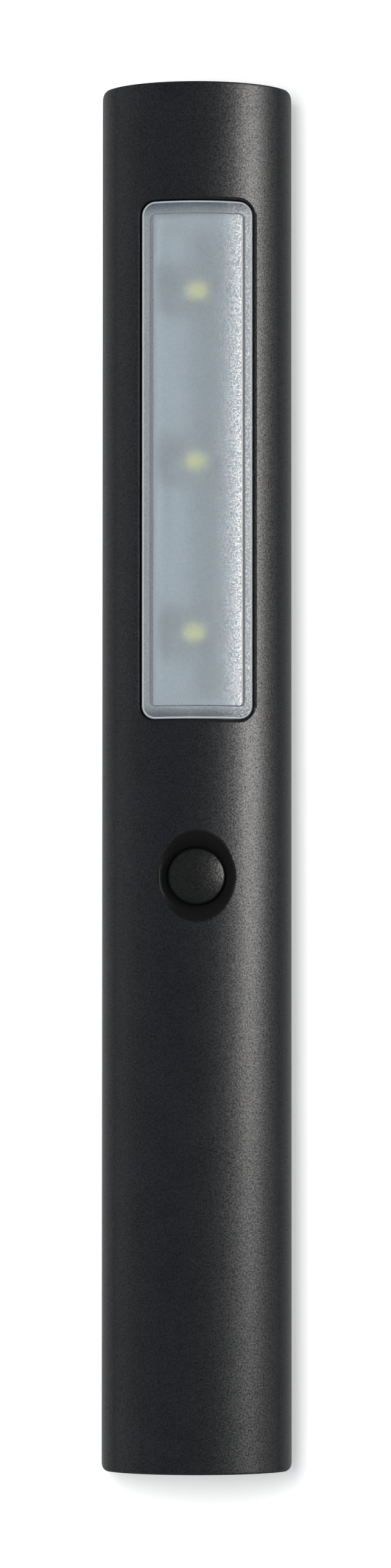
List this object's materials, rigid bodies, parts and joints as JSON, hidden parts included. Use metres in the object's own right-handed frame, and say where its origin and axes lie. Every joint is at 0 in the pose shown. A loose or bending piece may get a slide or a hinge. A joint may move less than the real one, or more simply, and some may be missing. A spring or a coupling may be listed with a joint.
{
  "type": "flashlight",
  "caption": "Slim half-round stick flashlight with a frosted lens over LEDs, a domed push button in a countersunk recess, and cells behind a sliding door in its flat back.",
  "frame": {"origin": "centre of the flat back that the light lies on", "axes": "+X to the right across the width, +Y along the length to the lamp end, +Z out of the lens side"},
  "size_m": [0.025, 0.1818, 0.0193],
  "materials": {
    "black_abs": "black ABS, fine spark-eroded moulded texture, satin",
    "frosted_lens": "frosted translucent plastic, grained border and smoother raised panel",
    "button_abs": "black ABS, satin",
    "white_board": "greyish solder mask on glass-epoxy board",
    "white_tray": "greyish white moulded reflector plastic",
    "led_package": "white LED package with a yellow phosphor window",
    "resistor": "black overglaze with tinned ends",
    "chip_epoxy": "black moulded epoxy",
    "ferrite": "ferrite drum, matt",
    "switch_plastic": "black moulded nylon",
    "switch_steel": "tinned steel sheet",
    "plunger_plastic": "white acetal",
    "cell_sleeve": null,
    "nickel_contact": "nickel-plated spring steel sheet",
    "spring_wire": "nickel-plated music wire",
    "red_wire": "red PVC insulation",
    "black_wire": "black PVC insulation",
    "zinc_screw": "zinc-plated steel"
  },
  "bodies": {
    "body": {"front_shell": "black_abs", "lens": "frosted_lens", "back_cover": "black_abs", "main_board": "white_board", "reflector": "white_tray", "led_1": "led_package", "led_2": "led_package", "led_3": "led_package", "resistor_1": "resistor", "resistor_2": "resistor", "resistor_3": "resistor", "driver_chip": "chip_epoxy", "inductor": "ferrite", "switch_body": "switch_plastic", "switch_cover": "switch_steel", "battery_1": "cell_sleeve", "battery_2": "cell_sleeve", "contact_positive": "nickel_contact", "contact_negative": "nickel_contact", "contact_bridge": "nickel_contact", "spring_negative": "spring_wire", "spring_bridge": "spring_wire", "wire_positive": "red_wire", "wire_negative": "black_wire", "cover_screw_1": "zinc_screw", "cover_screw_2": "zinc_screw", "cover_screw_3": "zinc_screw", "cover_screw_4": "zinc_screw", "board_screw_1": "zinc_screw", "board_screw_2": "zinc_screw"},
    "button": {"button_cap": "button_abs", "switch_plunger": "plunger_plastic"},
    "door": {"battery_door": "black_abs"}
  },
  "joints": [
    {"name": "button_press", "type": "slide", "parent": "body", "child": "button", "axis": [0, 0, -1], "range_m": [0, 0.0015], "stiffness_N_per_m": 600},
    {"name": "door_slide", "type": "slide", "parent": "body", "child": "door", "axis": [0, -1, 0], "range_m": [0, 0.05]}
  ]
}
